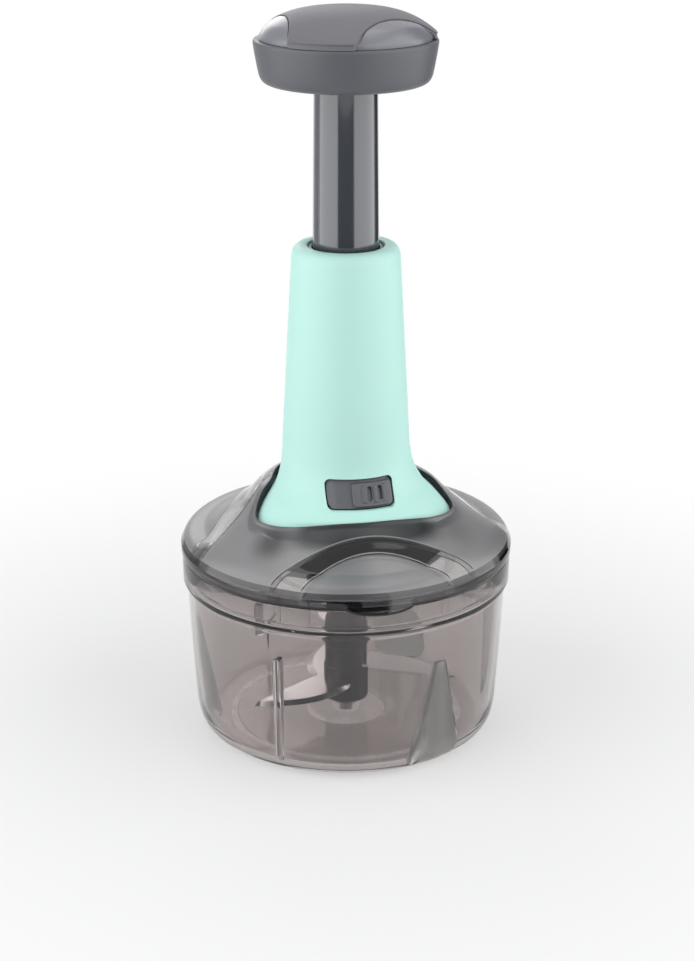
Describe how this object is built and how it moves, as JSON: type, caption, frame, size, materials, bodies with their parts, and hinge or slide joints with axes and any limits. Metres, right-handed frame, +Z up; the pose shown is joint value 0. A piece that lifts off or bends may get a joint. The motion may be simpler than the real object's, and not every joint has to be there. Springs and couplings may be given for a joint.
{
  "type": "hand-press food chopper",
  "caption": "Hand-press food chopper: a clear bowl with a lid, a column handle and a sprung plunger knob that spins stacked blades through a twisted rod, with a sliding lock.",
  "frame": {"origin": "middle of the bowl's base, on the table", "axes": "+Z up along the plunger's axis, -Y to the front with the lock switch and the lid's thumb tab"},
  "size_m": [0.13, 0.1317, 0.2815],
  "materials": {
    "bowl_clear": "clear smoky plastic",
    "lid_smoke": "glossy dark see-through plastic",
    "mint": "fine satin",
    "dark_grey": "satin",
    "gloss_grey": "polished",
    "soft_grey": "soft and matt",
    "nylon": "natural",
    "blade_steel": "ground",
    "plain_steel": "plain"
  },
  "bodies": {
    "bowl_body": {"bowl": "bowl_clear", "pivot_pin": "plain_steel"},
    "head_body": {"lid": "lid_smoke", "mechanism_plate": "nylon", "drive_bush": "nylon", "guide_tube": "nylon", "mouth_bush": "dark_grey", "spring_seat": "plain_steel", "return_spring": "plain_steel", "handle_housing": "mint", "housing_screw_1": "plain_steel", "housing_screw_2": "plain_steel", "housing_screw_3": "plain_steel", "plate_screw_1": "plain_steel", "plate_screw_2": "plain_steel", "plate_screw_3": "plain_steel", "clutch_cup": "nylon", "lock_track": "dark_grey"},
    "plunger_body": {"plunger_tube": "gloss_grey", "drive_nut": "nylon", "knob_cup": "dark_grey", "knob_cap": "gloss_grey", "knob_pad": "soft_grey", "knob_screw": "plain_steel"},
    "rod_body": {"drive_rod": "plain_steel", "clutch_driver": "nylon"},
    "output_body": {"clutch_driven": "nylon", "drive_coupler": "dark_grey", "clutch_spring": "plain_steel"},
    "blade_body": {"blade_hub": "dark_grey", "blade_top": "blade_steel", "blade_middle": "blade_steel", "blade_bottom": "blade_steel"},
    "lock_body": {"lock_slider": "dark_grey", "lock_bolt": "nylon"}
  },
  "joints": [
    {"name": "head_lift", "type": "slide", "parent": "bowl_body", "child": "head_body", "axis": [0, 0, 1], "range_m": [0, 0.15]},
    {"name": "plunger_press", "type": "slide", "parent": "head_body", "child": "plunger_body", "axis": [0, 0, -1], "range_m": [0, 0.055], "stiffness_N_per_m": 150, "springref_m": -0.03, "deforming": ["return_spring"]},
    {"name": "rod_spin", "type": "hinge", "parent": "head_body", "child": "rod_body", "pos_m": [0, 0, 0.09], "axis": [0, 0, 1], "range_deg": [0, 720]},
    {"name": "output_spin", "type": "hinge", "parent": "head_body", "child": "output_body", "pos_m": [0, 0, 0.075], "axis": [0, 0, 1], "range_deg": [0, 720]},
    {"name": "blade_release", "type": "slide", "parent": "output_body", "child": "blade_body", "axis": [0, 0, -1], "range_m": [0, 0.075]},
    {"name": "lock_turn", "type": "hinge", "parent": "head_body", "child": "lock_body", "pos_m": [0, 0, 0.1045], "axis": [0, 0, 1], "range_deg": [-18, 0]}
  ],
  "couplings": [
    {"joint": "rod_spin", "follows": "plunger_press", "rad_per_m": 228.48},
    {"joint": "output_spin", "follows": "plunger_press", "rad_per_m": 228.48},
    {"joint": "blade_release", "follows": "head_lift", "ratio": 0.5}
  ]
}
